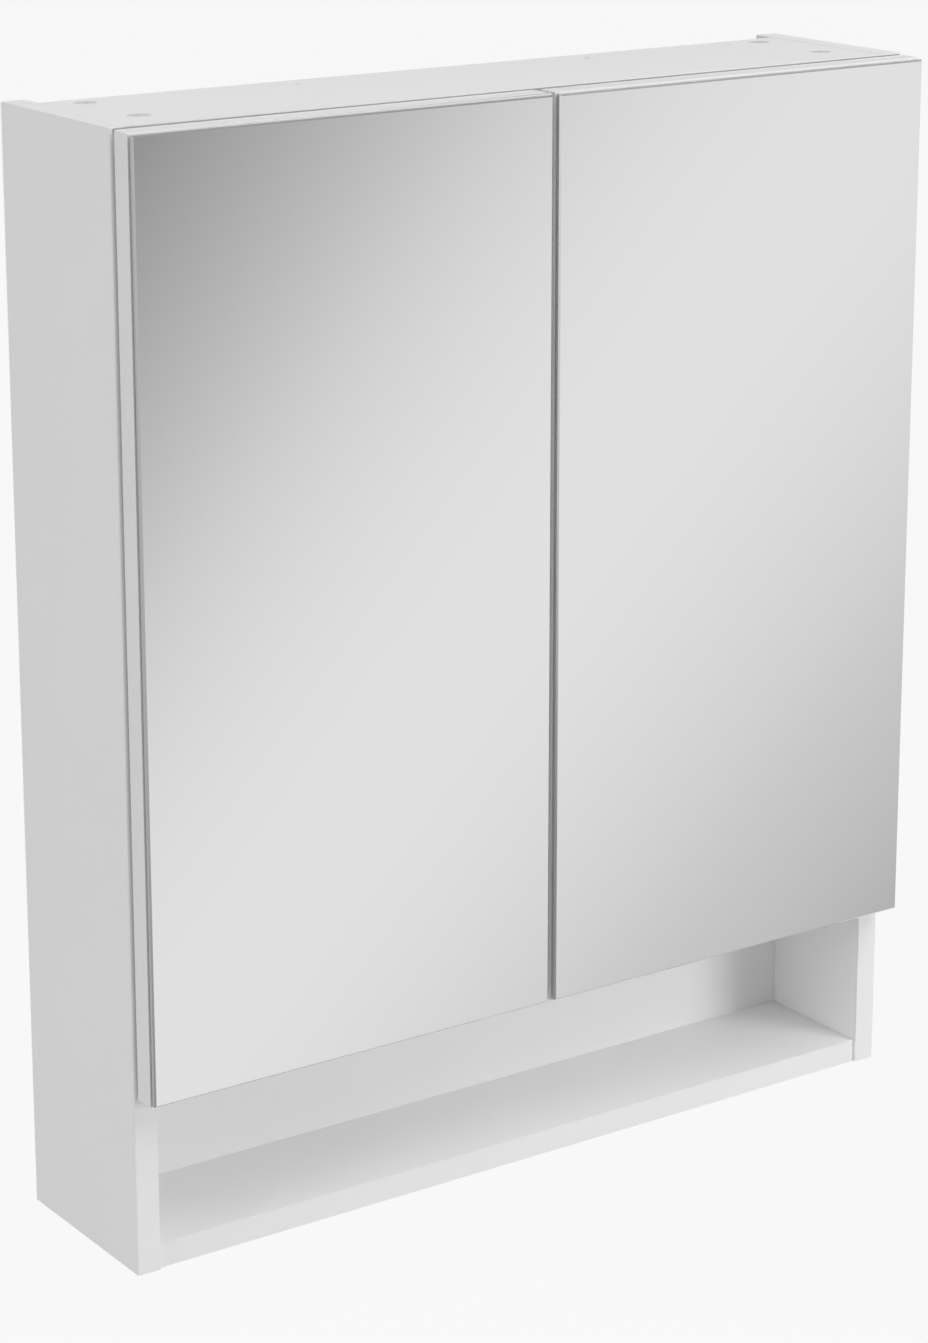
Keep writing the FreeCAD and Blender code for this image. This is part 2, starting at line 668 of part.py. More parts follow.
def deck(height, depth, extra_bores):
    """A board between the sides: its cams, bolts and dowels are bored at both ends."""
    panel = box((-INNER, INNER), depth, (height - BOARD / 2, height + BOARD / 2))
    bores = []
    for cam_height, side, y in cam_places():
        if cam_height == height:
            bores.append(cam_bore(height, side, y))
            start = Vec(-INNER, y, height)
            bores.append(rod(BOLT_BORE_RADIUS, start, start + Vec(CAM_FROM_END, 0, 0)))
    bores.append(dowel_bore(DOWEL_MIDDLE, height))
    return panel.cut(both_sides(bores + extra_bores))


def back_panel():
    panel = box((-INNER, INNER), (BACK_REAR, BACK_FRONT), (BOARD, TOP_UNDER))
    bores = [dowel_bore(y, height) for y, height in dowel_places() if y == BACK_MIDDLE]
    bores += [back_screw(side, FIT) for side in (1, -1)]
    bores.append(hook_slot())
    return panel.cut(both_sides(bores))


def front_bands():
    """The edging on the front of each carcass board."""
    side = box((-HALF, -INNER), (BOARD_FRONT, FRONT), (0, HEIGHT))
    bands = both_sides([side])
    top = box((-INNER, INNER), (BOARD_FRONT, FRONT), (TOP_UNDER, HEIGHT))
    bands.append(top.cut(both_sides([catch_bore()])))
    bands.append(box((-INNER, INNER), (BOARD_FRONT, FRONT), (NICHE_CEILING, NICHE_TOP)))
    setback = Vec(0, BOTTOM_SETBACK, 0)
    bottom = box((-INNER, INNER), (BOARD_FRONT, FRONT), (0, BOARD))
    bottom.translate(setback)
    bands.append(bottom)
    return bands


# Doors, each made as the left one

def door_panel():
    panel = box((-DOOR_OUTER + DOOR_BAND, -DOOR_INNER - DOOR_BAND), (DOOR_REAR, DOOR_FRONT),
                (DOOR_BOTTOM + DOOR_BAND, DOOR_TOP - DOOR_BAND))
    into = Vec(0, -1, 0)
    bores = [strike_plate(FIT)]
    for height in HINGE_HEIGHTS:
        centre = Vec(CUP_X, DOOR_REAR, height)
        bores.append(rod(CUP_RADIUS + FIT, centre, centre + into * (CUP_DEPTH + FIT), CUP_SIDES))
        bores += [raised(cup_screw(FIT), height + ear) for ear in ear_heights()]
    return panel.cut(bores)


def door_bands():
    """Edging all round the door; the hinge side's rear edge is rounded so that it clears the carcass."""
    depth = (DOOR_REAR, DOOR_FRONT)
    tall = (DOOR_BOTTOM, DOOR_TOP)
    hinge_side = box((-DOOR_OUTER, -DOOR_OUTER + DOOR_BAND), depth, tall)
    rear_edge = [edge for edge in hinge_side.Edges if is_along(edge, Vec(0, 0, 1)) and is_door_corner(edge)]
    hinge_side = hinge_side.makeFillet(DOOR_BAND_ROUND, rear_edge)
    free_side = box((-DOOR_INNER - DOOR_BAND, -DOOR_INNER), depth, tall)
    between = (-DOOR_OUTER + DOOR_BAND, -DOOR_INNER - DOOR_BAND)
    lower = box(between, depth, (DOOR_BOTTOM, DOOR_BOTTOM + DOOR_BAND))
    upper = box(between, depth, (DOOR_TOP - DOOR_BAND, DOOR_TOP))
    return [hinge_side, free_side, lower, upper]


def is_door_corner(edge):
    point = edge.Vertexes[0].Point
    return abs(point.x + DOOR_OUTER) < SAME and abs(point.y - DOOR_REAR) < SAME


def mirror_glass():
    glass = box((-DOOR_OUTER + MIRROR_INSET, -DOOR_INNER - MIRROR_INSET), (MIRROR_REAR, MIRROR_FRONT),
                (DOOR_BOTTOM + MIRROR_INSET, DOOR_TOP - MIRROR_INSET))
    front = [edge for edge in glass.Edges if all(abs(v.Point.y - MIRROR_FRONT) < SAME for v in edge.Vertexes)]
    return glass.makeChamfer(MIRROR_ARRIS, front)


def mirror_tapes():
    """Upright adhesive strips between the door board and the glass."""
    first = -DOOR_OUTER + TAPE_INSET
    last = -DOOR_INNER - TAPE_INSET - TAPE_WIDTH
    step = (last - first) / (TAPE_COUNT - 1)
    tall = (DOOR_BOTTOM + TAPE_INSET, DOOR_TOP - TAPE_INSET)
    return [box((first + step * count, first + step * count + TAPE_WIDTH), (DOOR_FRONT, MIRROR_REAR), tall)
            for count in range(TAPE_COUNT)]


def at_hinges(shape):
    return [raised(shape, height) for height in HINGE_HEIGHTS]


def carcass_nodes():
    left = side_panel()
    top_bores = [back_screw(1, FIT), catch_bore()]
    bottom_front = BOARD_FRONT + BOTTOM_SETBACK
    top_height, bottom_height, niche_height = [height for height, side, places in DECKS]
    nodes = {
        "left_side_panel": [left],
        "right_side_panel": [mirrored(left)],
        "top_panel": [deck(top_height, (DECK_REAR, BOARD_FRONT), top_bores)],
        "bottom_panel": [deck(bottom_height, (DECK_REAR, bottom_front), [back_screw(-1, FIT)])],
        "niche_top_panel": [deck(niche_height, (BACK_FRONT, BOARD_FRONT), [])],
        "back_panel": [back_panel()],
        "front_edge_bands": front_bands(),
        "shelf_pins": both_sides([shelf_pin(y, low) for low in SHELF_UNDERSIDES for y in PIN_ROWS]),
        "cam_locks": both_sides([cam_lock(*place) for place in cam_places()]),
        "cam_bolts": both_sides([cam_bolt(height, y) for height, side, y in cam_places()]),
        "dowels": both_sides([dowel(*place) for place in dowel_places()]),
        "back_panel_screws": both_sides([back_screw(1), back_screw(-1)]),
        "hanger_housings": both_sides([hanger_housing()]),
        "hanger_hooks": both_sides([hanger_hook()]),
        "hanger_adjusters": both_sides([adjuster(height) for height in adjuster_places()]),
        "hinge_mounting_plates": both_sides(at_hinges(mounting_plate())),
        "hinge_plate_screws": both_sides([raised(plate_screw(), height) for height in plate_screw_heights()]),
        "hinge_arms": both_sides(at_hinges(hinge_arm())),
        "hinge_arm_screws": both_sides([raised(arm_screw(y), height)
                                        for height in HINGE_HEIGHTS for y in arm_screw_places()]),
        "catch_sleeves": both_sides([catch_sleeve()]),
        "catch_magnets": both_sides([catch_magnet()]),
    }
    for name, underside in zip(SHELF_NAMES, SHELF_UNDERSIDES):
        nodes[name] = [shelf(underside)]
    return nodes


def door_nodes():
    """The left door's pieces by their plain names."""
    return {
        "door_panel": [door_panel()],
        "door_edge_bands": door_bands(),
        "mirror": [mirror_glass()],
        "mirror_tapes": mirror_tapes(),
        "hinge_cups": at_hinges(hinge_cup()),
        "hinge_pins": at_hinges(hinge_pin()),
        "cup_screws": [raised(cup_screw(), height + ear)
                       for height in HINGE_HEIGHTS for ear in ear_heights()],
        "strike_plate": [strike_plate()],
        "bumpers": [bumper(height) for height in BUMPER_HEIGHTS],
    }


os.makedirs("parts", exist_ok=True)
for node, solids in carcass_nodes().items():
    save(node, solids)
for node, solids in door_nodes().items():
    save("left_" + node, solids)
    save("right_" + node, [mirrored(solid) for solid in solids])
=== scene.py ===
import json
import math

import bmesh
import bpy
from mathutils import Matrix, Vector

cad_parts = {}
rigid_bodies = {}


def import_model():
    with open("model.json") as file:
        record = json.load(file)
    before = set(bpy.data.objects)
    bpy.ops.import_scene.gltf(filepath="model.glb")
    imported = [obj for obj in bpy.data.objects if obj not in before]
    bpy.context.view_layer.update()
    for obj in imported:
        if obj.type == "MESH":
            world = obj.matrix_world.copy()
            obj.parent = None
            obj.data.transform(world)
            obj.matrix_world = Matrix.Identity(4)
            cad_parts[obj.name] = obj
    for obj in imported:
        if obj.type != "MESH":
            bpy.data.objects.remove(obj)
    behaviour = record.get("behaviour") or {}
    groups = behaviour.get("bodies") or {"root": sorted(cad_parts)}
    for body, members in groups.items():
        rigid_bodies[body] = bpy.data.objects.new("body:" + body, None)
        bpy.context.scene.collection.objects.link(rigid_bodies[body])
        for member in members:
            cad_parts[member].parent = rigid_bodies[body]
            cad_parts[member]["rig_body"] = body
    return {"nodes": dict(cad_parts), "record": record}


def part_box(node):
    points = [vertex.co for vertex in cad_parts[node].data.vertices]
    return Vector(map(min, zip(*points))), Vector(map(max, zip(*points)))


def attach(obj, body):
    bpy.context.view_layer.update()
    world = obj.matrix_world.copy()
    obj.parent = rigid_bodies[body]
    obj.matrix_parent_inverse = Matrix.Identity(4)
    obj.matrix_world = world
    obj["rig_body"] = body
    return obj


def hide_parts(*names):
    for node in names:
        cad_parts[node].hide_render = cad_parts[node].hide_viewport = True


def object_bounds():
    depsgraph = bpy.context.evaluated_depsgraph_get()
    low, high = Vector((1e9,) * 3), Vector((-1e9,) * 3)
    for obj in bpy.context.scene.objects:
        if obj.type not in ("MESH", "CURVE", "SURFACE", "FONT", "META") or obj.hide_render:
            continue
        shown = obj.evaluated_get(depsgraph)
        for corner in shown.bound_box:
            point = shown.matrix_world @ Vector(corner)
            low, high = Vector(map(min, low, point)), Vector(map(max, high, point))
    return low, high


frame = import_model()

CAD_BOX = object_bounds()
MM = 0.001

# Camera, fitted to the corners of the cabinet in the photo; metres, with the sensor in millimetres
PHOTO_TALL = 1343
FOCAL_PIXELS = 3563
CAMERA_PLACE = (-1.286, -1.911, 1.012)
CAMERA_YAW = math.radians(34.82)
CAMERA_PITCH = math.radians(14.47)
CAMERA_SHIFT = (-0.0045, -0.119)
CAMERA_REACH = 200.0
SENSOR = 36.0

# Studio, in metres; each light has a place, a size and its watts
FLOOR_DROP = 1.8
FLOOR_SIZE = 80.0
FLOOR_TONE = 0.85
FLOOR_GLOW = 0.97
FLOOR_SHARE = 0.95
BACKGROUND = 0.94
AMBIENT = 0.30
LIGHTS = {
    "key": ((2.0, -3.1, 0.9), 1.6, 49.0),
    "high": ((0.9, -2.5, 2.9), 1.6, 28.0),
    "overhead": ((0.3, -0.9, 3.0), 2.0, 23.0),
    "side": ((-3.4, -0.5, 0.6), 1.2, 31.0),
    "rear": ((0.6, 3.2, 0.7), 2.0, 40.0),
}

# Reflector card: its ring in metres, and its bands of light with their tones from start to end
CARD_RADIUS = 2.5
CARD_TOP = 3.0
CARD_SIDES = 128
CARD_BANDS = 7
CARD_LEAN = 0.3166
CARD_TURN = 0.849
CARD_TONES = ((0.0, 0.27), (0.12, 0.338), (0.30, 0.635), (0.5, 0.80), (0.72, 0.67), (0.88, 0.473),
              (1.0, 0.27))

# Shapes: flats round a turned piece, steps of a dome, segments of an eased edge
ROUND = 48
DOME_STEPS = 6
EASE_SEGMENTS = 2

# How close two points count as one, in metres, and at which angle an edge counts as sharp or flat
TOUCH = 1e-6
SHARP = math.radians(35)
FLAT = math.radians(0.5)

# How far the sharp edges of each material slot are eased, in millimetres
EASED = {
    "white_board": 0.2,
    "edging": 0.2,
    "shelf_glass": 0.4,
    "plated_steel": 0.3,
    "white_plastic": 0.6,
}

# Outer round of the front edging, in millimetres along the side and across the front
BAND_ROUND_DEEP = 0.8
BAND_ROUND_WIDE = 2.0
BAND_SEGMENTS = 4

# Boards and edging: tones, neutral as in the photo, and roughness
WHITE_BOARD = 0.93
WHITE_BAND = 0.895
BOARD_ROUGH = 0.48
BAND_ROUGH = 0.40

# Painted shade of the gap above the doors, as a grey line below the top: tone, reach and sideways end in
# metres, stops as shares of the reach
GAP_SHADE_TONE = 0.5
GAP_SHADE_REACH = 0.005
GAP_SHADE_END = CAD_BOX[1].x - BAND_ROUND_WIDE * MM
GAP_SHADE_START = 0.06
GAP_SHADE_FULL = 0.1
GAP_SHADE_FADE = 0.4

# Dark joint at the top board's right end, darkened further as painted shade of the side board's step, named
# in the same way
JOINT_SHADE_TONE = 0.5
JOINT_SHADE_REACH = 0.001
JOINT_SHADE_FADE = 0.6

# Mirrors: tones of the silvered face, the cut edge and the ground arris; the arris tone by side and by door
# is painted light and shade, with the lower side painted lighter as catching light from the floor
SILVER = (0.93, 0.935, 0.932)
CUT_EDGE = (0.56, 0.575, 0.57)
CUT_EDGE_ROUGH = 0.2
LOWER_PAINTED_ARRIS = (0.66, 0.665, 0.662)
LEFT_DOOR_PAINTED_ARRIS = 0.35
LEFT_DOOR_LEFT_PAINTED_ARRIS = 0.55
RIGHT_DOOR_PAINTED_ARRIS = 0.42
RIGHT_DOOR_LEFT_PAINTED_ARRIS = 0.93

# How far a direction has to lean a side's way, where in a step the arris and the edge begin, and the
# number of steps in the ramp of tones
FACING = -0.3
ARRIS_FROM = 0.16
EDGE_FROM = 0.64
MIRROR_STEPS = 4

# Shelf glass: tones of the polished edge and of the clear face, and how level a face has to be
GLASS_EDGE = (0.42, 0.66, 0.58)
GLASS_FACE = (0.95, 0.98, 0.97)
LEVEL = 0.5

# Haze on glass: stops of a noise, each with its roughness
MIRROR_HAZE = ((0.35, 0.004), (0.75, 0.012))
SHELF_HAZE = ((0.4, 0.0), (0.8, 0.02))

# Where a noise is usually lowest and highest
NOISE_LOW = 0.3
NOISE_HIGH = 0.7

# Sockets of a colour mix: its two colours and its result
MIX_FIRST = 6
MIX_SECOND = 7
MIX_RESULT = 2

# Crossheads: reach, width and depth in millimetres, or for screws as shares of the head's radius; a recess
# narrows to the taper's share at its floor, and each next one is turned by the spin, in radians
CROSS_TAPER = 0.75
CAM_CROSS = (2.4, 1.1, 1.2)
ADJUSTER_CROSS = (2.4, 1.2, 0.9)
FLAT_CROSS = (0.62, 0.34, 0.6)
PAN_CROSS = (0.6, 0.32, 0.45)
CROSS_SPIN = 1.1

# Cam locks, in millimetres: how far the face stands above the solid, and the eased foot and rim
CAM_FACE = 0.45
CAM_FOOT = 0.5
CAM_RIM = 0.25

# Screws, in millimetres; the point's length is in radii of the shank
POINT = 3
FLAT_LIP = 0.3
FLAT_EASE = 0.1
PAN_LIP = 0.4
PAN_EASE = 0.2

# Hanger adjusters, in millimetres: the shank, the neck in the housing and the flange on it
ADJUSTER_SHANK = 2.5
ADJUSTER_FOOT = 0.5
ADJUSTER_NECK = 1.2
ADJUSTER_NECK_INSET = 0.4
ADJUSTER_REST = 0.02
ADJUSTER_OVERHANG = 0.2
ADJUSTER_EDGE = 0.25
ADJUSTER_TOP = 0.6

# Shelf pins, in millimetres; the round end lists heights and insets
PIN_SHANK = 2.5
PIN_FOOT = 0.4
PIN_HEAD = 9.0
PIN_COLLAR = 0.9
GROOVE_DEPTH = 0.4
GROOVE_FLOOR = 0.4
GROOVE_SLOPE = 0.2
PIN_END = ((-0.7, 0.0), (-0.2, 0.3), (0.0, 0.8))

# Bumpers: the foot's ease in millimetres, and the dome's height as a share of the length
BUMPER_EASE = 0.1
BUMPER_DOME = 0.75

# Strike plates, in millimetres: the pin, the disc and its dish
STRIKE_PIN = 1.5
STRIKE_PIN_EASE = 0.4
STRIKE_PIN_LEAD = 0.5
STRIKE_DISC = 0.8
STRIKE_EASE = 0.1
STRIKE_RIM = 0.3
DISH_RADIUS = 2.6
DISH_FLOOR = 2.2
DISH_DEPTH = 0.25

# Magnetic catches, in millimetres: the sleeve, its collar and bore, and the magnet
SLEEVE_RADIUS = 4.75
SLEEVE_EASE = 0.45
SLEEVE_LEAD = 0.5
COLLAR = 1.4
COLLAR_RIM = 0.4
BORE_RADIUS = 3.55
BORE_MOUTH = 3.9
BORE_LEAD = 0.3
BORE_DEPTH = 6.0
MAGNET_FOOT = 0.2
MAGNET_RIM = 0.25

# Hinge cups and plates, in millimetres
CUP_WALL = 0.9
CUP_FOOT_ROUND = 1.5
CUP_FOOT_INSET = 0.4
FLANGE = 1.2
FLANGE_RIM = 1.5
FLANGE_TRIM = 1.0
EAR_RADIUS = 5.5
EAR_OFFSET = 9.5
COUNTERSINK = 1.6
COUNTERSINK_RADIUS = 3.45
EAR_HOLE_RADIUS = 1.8
PRESSED_EDGE = 0.3
PLATE = 2.0
PLATE_WIDTH = 16.0
RAIL_WIDTH = 11.0
WING_RADIUS = 5.5
WING_OFFSET = -0.5


def colour(tone):
    """A grey level, or three levels, as a colour with alpha."""
    if isinstance(tone, (int, float)):
        return (tone, tone, tone, 1.0)
    return (*tone, 1.0)


class Tree:
    """The nodes of a material or of the world, with short calls to add and join them."""

    def __init__(self, owner):
        owner.use_nodes = True
        self.nodes = owner.node_tree.nodes
        self.links = owner.node_tree.links

    def add(self, kind, **settings):
        node = self.nodes.new("ShaderNode" + kind)
        for key, value in settings.items():
            setattr(node, key, value)
        return node

    def join(self, source, target):
        self.links.new(source, target)

    def math(self, operation, first, second=0.0):
        node = self.add("Math", operation=operation)
        for place, value in enumerate((first, second)):
            if isinstance(value, (int, float)):
                node.inputs[place].default_value = value
            else:
                self.join(value, node.inputs[place])
        return node.outputs["Value"]

    def split(self, vector):
        """A vector's X, Y and Z."""
        node = self.add("SeparateXYZ")
        self.join(vector, node.inputs["Vector"])
        return node.outputs

    def mix(self, share, first, second):
        """A shader between two, by a share from 0 to 1."""
        node = self.add("MixShader")
        self.join(share, node.inputs["Fac"])
        self.join(first, node.inputs[1])
        self.join(second, node.inputs[2])
        return node.outputs["Shader"]

    def seen(self):
        """One for rays that show the background: from the camera, a reflection or a clear piece."""
        path = self.add("LightPath")
        share = self.math("MAXIMUM", path.outputs["Is Camera Ray"], path.outputs["Is Glossy Ray"])
        return self.math("MAXIMUM", share, path.outputs["Is Transmission Ray"])


class Surface(Tree):
    """A new material's nodes, with calls that feed its usual shader."""

    def __init__(self, name):
        self.material = bpy.data.materials.new(name)
        super().__init__(self.material)
        self.shader = self.nodes["Principled BSDF"]

    def set(self, **values):
        """Sets the shader's own sockets; a name's underscores stand for spaces."""
        for name, value in values.items():
            self.shader.inputs[name.replace("_", " ")].default_value = value

    def feed(self, name, source):
        self.join(source, self.shader.inputs[name])

    def finish(self, shader):
        """Replaces the usual shader by another."""
        self.nodes.remove(self.shader)
        self.join(shader, self.nodes["Material Output"].inputs["Surface"])
        return self.material

    def place(self, stretch=(1, 1, 1)):
        """The surface point in metres, stretched along the axes."""
        where = self.add("TexCoord")
        mapping = self.add("Mapping")
        mapping.inputs["Scale"].default_value = stretch
        self.join(where.outputs["Object"], mapping.inputs["Vector"])
        return mapping.outputs["Vector"]

    def own_normal(self):
        """The surface's direction in the piece's own frame, as X, Y and Z."""
        return self.split(self.add("TexCoord").outputs["Normal"])

    def noise(self, scale, detail=2.0, stretch=(1, 1, 1)):
        node = self.add("TexNoise")
        node.inputs["Scale"].default_value = scale
        node.inputs["Detail"].default_value = detail
        self.join(self.place(stretch), node.inputs["Vector"])
        return node.outputs["Fac"]

    def ramp(self, source, *stops, interpolation="LINEAR"):
        """A colour ramp; each stop is (place, grey level or colour)."""
        node = self.add("ValToRGB")
        node.color_ramp.interpolation = interpolation
        points = node.color_ramp.elements
        while len(points) < len(stops):
            points.new(1.0)
        for point, (at, tone) in zip(points, stops):
            point.position = at
            point.color = colour(tone)
        self.join(source, node.inputs["Fac"])
        return node.outputs["Color"]

    def grade(self, noise, low, high):
        """A tone or level that follows a noise from its usual low to its usual high."""
        return self.ramp(noise, (NOISE_LOW, low), (NOISE_HIGH, high))

    def bump(self, height, strength, distance):
        node = self.add("Bump")
        node.inputs["Strength"].default_value = strength
        node.inputs["Distance"].default_value = distance
        self.join(height, node.inputs["Height"])
        self.feed("Normal", node.outputs["Normal"])

    def blend(self, share, first, second):
        """A colour between two, by a share from 0 to 1."""
        node = self.add("Mix", data_type="RGBA")
        self.join(share, node.inputs["Factor"])
        node.inputs[MIX_FIRST].default_value = colour(first)
        node.inputs[MIX_SECOND].default_value = colour(second)
        return node.outputs[MIX_RESULT]

    def darken(self, tone, shade):
        """A colour times a shade."""
        node = self.add("Mix", data_type="RGBA", blend_type="MULTIPLY")
        node.inputs["Factor"].default_value = 1.0
        self.join(tone, node.inputs[MIX_FIRST])
        self.join(shade, node.inputs[MIX_SECOND])
        return node.outputs[MIX_RESULT]


# Materials

def board_material(name, level, rough, shade_lines=None):
    """White melamine: a fine pearl grain with the faintest cloud in its tone, and painted shade if given.
    """
    tree = Surface(name)
    cloud = tree.noise(scale=6.0, detail=3.0)
    tone = tree.grade(cloud, low=level - 0.012, high=level + 0.008)
    # Painted shade, where given, darkens the tone
    tree.feed("Base Color", tree.darken(tone, shade_lines(tree)) if shade_lines else tone)
    grain = tree.noise(scale=1400.0)
    tree.feed("Roughness", tree.grade(grain, low=rough - 0.04, high=rough + 0.05))
    tree.bump(grain, strength=0.05, distance=0.02 * MM)
    tree.set(Specular_IOR_Level=0.4)
    return tree.material


def painted_gap_shade(tree):
    """Painted shade of the gap above the doors: a soft grey line on the edging below the top, up to its
    outer rounds.
    """
    place = tree.split(tree.place())
    below = tree.math("SUBTRACT", CAD_BOX[1].z, place["Z"])
    share = tree.math("DIVIDE", below, GAP_SHADE_REACH)
    line = tree.ramp(share, (0.0, 1.0), (GAP_SHADE_START, 1.0), (GAP_SHADE_FULL, GAP_SHADE_TONE), (GAP_SHADE_FADE, GAP_SHADE_TONE),
                     (1.0, 1.0))
    outside = tree.math("GREATER_THAN", tree.math("ABSOLUTE", place["X"]), GAP_SHADE_END)
    return tree.math("MAXIMUM", line, outside)


def joint_and_step_shade(tree):
    """The fine dark joint at the top board's right end, where it meets the side board, darkened as painted
    shade.
    """
    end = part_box("top_panel")[1].x
    inside = tree.math("SUBTRACT", end, tree.split(tree.place())["X"])
    share = tree.math("DIVIDE", inside, JOINT_SHADE_REACH)
    return tree.ramp(share, (0.0, JOINT_SHADE_TONE), (JOINT_SHADE_FADE, JOINT_SHADE_TONE), (1.0, 1.0))


def mirror_material(name, arris, left_arris):
    """Silvered glass: the face reflects, the ground arris has painted light and shade by side, the cut edge
    is grey.
    """
    tree = Surface(name)
    normal = tree.own_normal()
    silvered = tree.math("LESS_THAN", normal["Y"], FACING)
    below = tree.math("LESS_THAN", normal["Z"], FACING)
    left = tree.math("LESS_THAN", normal["X"], FACING)
    # The step is 0 on the face and 1 on the cut edge; the lower side adds 1 to it and the left side adds 2
    side_step = tree.math("ADD", below, tree.math("MULTIPLY", left, 2.0))
    step = tree.math("ADD", tree.math("ADD", normal["Y"], 1.0), side_step)
    stops = [(0.0, SILVER)]
    # The arris tones by side are painted light and shade
    for side, tone in enumerate((arris, LOWER_PAINTED_ARRIS, left_arris)):
        stops.append(((side + ARRIS_FROM) / MIRROR_STEPS, tone))
        stops.append(((side + EDGE_FROM) / MIRROR_STEPS, CUT_EDGE))
    share = tree.math("DIVIDE", step, MIRROR_STEPS)
    tree.feed("Base Color", tree.ramp(share, *stops, interpolation="CONSTANT"))
    tree.feed("Metallic", silvered)
    haze = tree.ramp(tree.noise(scale=9.0, detail=4.0), *MIRROR_HAZE)
    edge = tree.math("MULTIPLY", tree.math("SUBTRACT", 1.0, silvered), CUT_EDGE_ROUGH)
    tree.feed("Roughness", tree.math("ADD", edge, haze))
    return tree.material


def shelf_material():
    """Clear float glass whose polished edge looks green."""
    tree = Surface("shelf_glass")
    flat = tree.math("GREATER_THAN", tree.math("ABSOLUTE", tree.own_normal()["Z"]), LEVEL)
    tree.feed("Base Color", tree.blend(flat, GLASS_EDGE, GLASS_FACE))
    tree.feed("Roughness", tree.ramp(tree.noise(scale=25.0, detail=3.0), *SHELF_HAZE))
    tree.set(Transmission_Weight=0.92, IOR=1.5)
    return tree.material


def steel_material():
    """Nickel-plated pressed steel with a fine rolled grain."""
    tree = Surface("plated_steel")
    rolled = tree.noise(scale=500.0, detail=3.0, stretch=(1, 1, 0.04))
    tree.feed("Base Color", tree.grade(rolled, low=0.66, high=0.76))
    tree.feed("Roughness", tree.grade(rolled, low=0.20, high=0.32))
    tree.bump(rolled, strength=0.08, distance=0.03 * MM)
    tree.set(Metallic=1.0)
    return tree.material


def zinc_material():
    """Grey die-cast zinc with a grainy skin."""
    tree = Surface("zinc")
    skin = tree.noise(scale=900.0, detail=3.0)
    tree.feed("Base Color", tree.grade(skin, low=0.68, high=0.76))
    tree.feed("Roughness", tree.grade(skin, low=0.38, high=0.5))
    tree.bump(skin, strength=0.15, distance=0.04 * MM)
    tree.set(Metallic=0.15)
    return tree.material


def beech_material():
    """Bare beech with a short straight grain along the dowel."""
    tree = Surface("beech")
    grain = tree.noise(scale=220.0, detail=4.0, stretch=(0.08, 1, 1))
    tree.feed("Base Color", tree.grade(grain, low=(0.52, 0.36, 0.22), high=(0.70, 0.53, 0.35)))
    tree.bump(grain, strength=0.2, distance=0.1 * MM)
    tree.set(Roughness=0.65)
    return tree.material


def plastic_material(name, low, high, rough, grain):
    """Moulded plastic or rubber: slight mottling and a fine spark-eroded skin."""
    tree = Surface(name)
    skin = tree.noise(scale=grain)
    tree.feed("Base Color", tree.grade(skin, low, high))
    tree.feed("Roughness", tree.grade(skin, low=rough - 0.05, high=rough + 0.05))
    tree.bump(skin, strength=0.15, distance=0.04 * MM)
    return tree.material


MATERIALS = {
    "white_board": board_material("white_board", WHITE_BOARD, BOARD_ROUGH),
    "edging": board_material("edging", WHITE_BAND, BAND_ROUGH),
    # the top board's finish has a dark joint at its right end, partly painted shade
    "top_board_joint_shade": board_material("top_board_joint_shade", WHITE_BOARD, BOARD_ROUGH, joint_and_step_shade),
    # the front edging's finish carries the painted shade of the gap above the doors
    "front_edging_gap_shade": board_material("front_edging_gap_shade", WHITE_BAND, BAND_ROUGH, painted_gap_shade),
    "shelf_glass": shelf_material(),
    "mirror_glass": mirror_material("mirror_glass", LEFT_DOOR_PAINTED_ARRIS, LEFT_DOOR_LEFT_PAINTED_ARRIS),
    # a copy of the mirror finish whose arris tones are painted light and shade for the right door
    "right_mirror_glass_painted_arris": mirror_material("right_mirror_glass_painted_arris", RIGHT_DOOR_PAINTED_ARRIS, RIGHT_DOOR_LEFT_PAINTED_ARRIS),
    "plated_steel": steel_material(),
    "zinc": zinc_material(),
    "beech": beech_material(),
    "white_plastic": plastic_material("white_plastic", low=0.84, high=0.88, rough=0.36, grain=1100.0),
    "magnet": plastic_material("magnet", low=0.09, high=0.13, rough=0.55, grain=1500.0),
    "foam_tape": plastic_material("foam_tape", low=0.52, high=0.64, rough=0.85, grain=1800.0),
    "clear_rubber": plastic_material("clear_rubber", low=0.66, high=0.72, rough=0.30, grain=700.0),
}
SLOTS = {part["node"]: part["material_slot"] for part in frame["record"]["subparts"]}
OWN_FINISH = {
    # The front edging and the top board get finishes with painted shade, the right mirror one with painted
    # light
    "front_edge_bands": "front_edging_gap_shade",
    "top_panel": "top_board_joint_shade",
    "right_mirror": "right_mirror_glass_painted_arris",
}


def finish_of(node):
    """A node's own finish, or else its slot's material."""
    return MATERIALS[OWN_FINISH.get(node, SLOTS[node])]


# Solids, modelled in millimetres round their own Z axis

def as_piece(grid, name):
    mesh = bpy.data.meshes.new(name)
    grid.to_mesh(mesh)
    grid.free()
    piece = bpy.data.objects.new(name, mesh)
    bpy.context.scene.collection.objects.link(piece)
    return piece


def lathe(*outline, at=(0, 0)):
    """A turned solid; the outline lists (height, radius) from the foot's middle to the top's middle."""
    grid = bmesh.new()
    x, y = at
    turns = [2 * math.pi * step / ROUND for step in range(ROUND)]
    rings = []
    for height, radius in outline:
        if radius == 0:
            rings.append([grid.verts.new((x, y, height))] * ROUND)
        else:
            points = [(x + radius * math.cos(turn), y + radius * math.sin(turn), height) for turn in turns]
            rings.append([grid.verts.new(point) for point in points])
    for low, high in zip(rings, rings[1:]):
        for step in range(ROUND):
            corners = [low[step - 1], low[step], high[step], high[step - 1]]
            grid.faces.new(list(dict.fromkeys(corners)))
    return as_piece(grid, "turned")


def disc(low, high, radius, at=(0, 0)):
    return lathe((low, 0), (low, radius), (high, radius), (high, 0), at=at)


